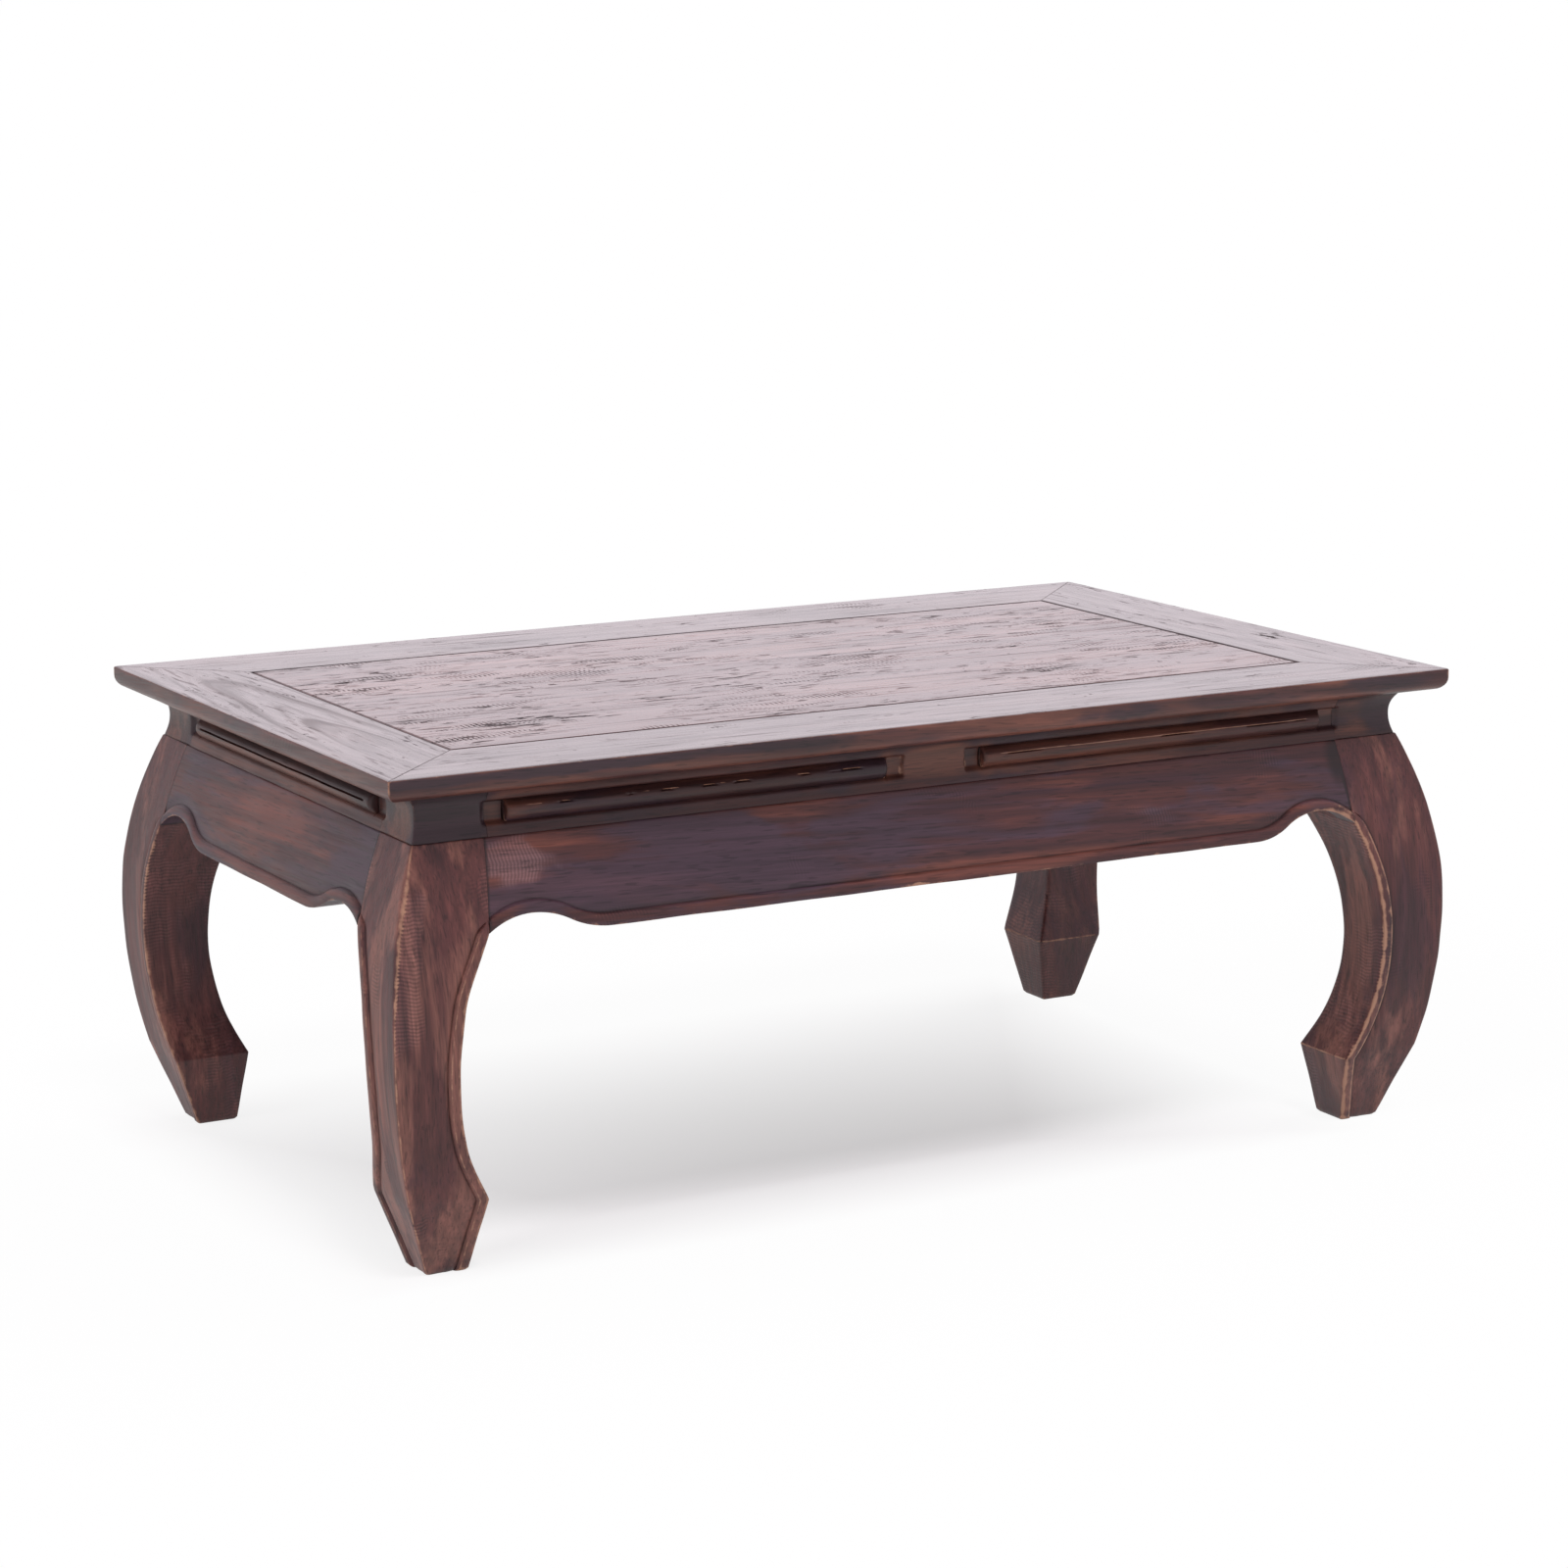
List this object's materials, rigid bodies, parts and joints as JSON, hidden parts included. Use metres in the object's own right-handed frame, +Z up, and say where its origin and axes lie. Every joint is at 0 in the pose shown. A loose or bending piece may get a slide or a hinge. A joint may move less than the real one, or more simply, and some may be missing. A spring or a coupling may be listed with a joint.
{
  "type": "opium table",
  "caption": "Low rectangular waisted table with a mitred frame top, swelling cusped aprons and curved legs ending in inward hoof feet.",
  "frame": {"origin": "on the floor, at the centre of the table's footprint", "axes": "+X along the table's length, +Y from the front to the back, +Z up"},
  "size_m": [1.0046, 0.6096, 0.405],
  "materials": {
    "top_wood": "waxed, worn pale sheen",
    "leg_wood": "dark brushed stain, waxed",
    "apron_wood": "dark brushed stain, waxed",
    "waist_wood": "dark brushed stain, waxed",
    "inner_wood": "bare sawn wood"
  },
  "bodies": {
    "root": {"apron_back": "apron_wood", "apron_front": "apron_wood", "apron_left": "apron_wood", "apron_pegs": "inner_wood", "apron_right": "apron_wood", "leg_back_left": "leg_wood", "leg_back_right": "leg_wood", "leg_front_left": "leg_wood", "leg_front_right": "leg_wood", "mitre_spline_back_left": "inner_wood", "mitre_spline_back_right": "inner_wood", "mitre_spline_front_left": "inner_wood", "mitre_spline_front_right": "inner_wood", "panel_batten_1": "inner_wood", "panel_batten_2": "inner_wood", "panel_batten_3": "inner_wood", "panel_board_1": "top_wood", "panel_board_2": "top_wood", "panel_board_3": "top_wood", "panel_board_4": "top_wood", "top_rail_back": "top_wood", "top_rail_front": "top_wood", "top_rail_left": "top_wood", "top_rail_right": "top_wood", "waist_back": "waist_wood", "waist_bar_back_left": "waist_wood", "waist_bar_back_right": "waist_wood", "waist_bar_front_left": "waist_wood", "waist_bar_front_right": "waist_wood", "waist_bar_left": "waist_wood", "waist_bar_right": "waist_wood", "waist_corner_back_left": "waist_wood", "waist_corner_back_right": "waist_wood", "waist_corner_front_left": "waist_wood", "waist_corner_front_right": "waist_wood", "waist_front": "waist_wood", "waist_glue_blocks": "inner_wood", "waist_left": "waist_wood", "waist_right": "waist_wood"}
  },
  "joints": []
}
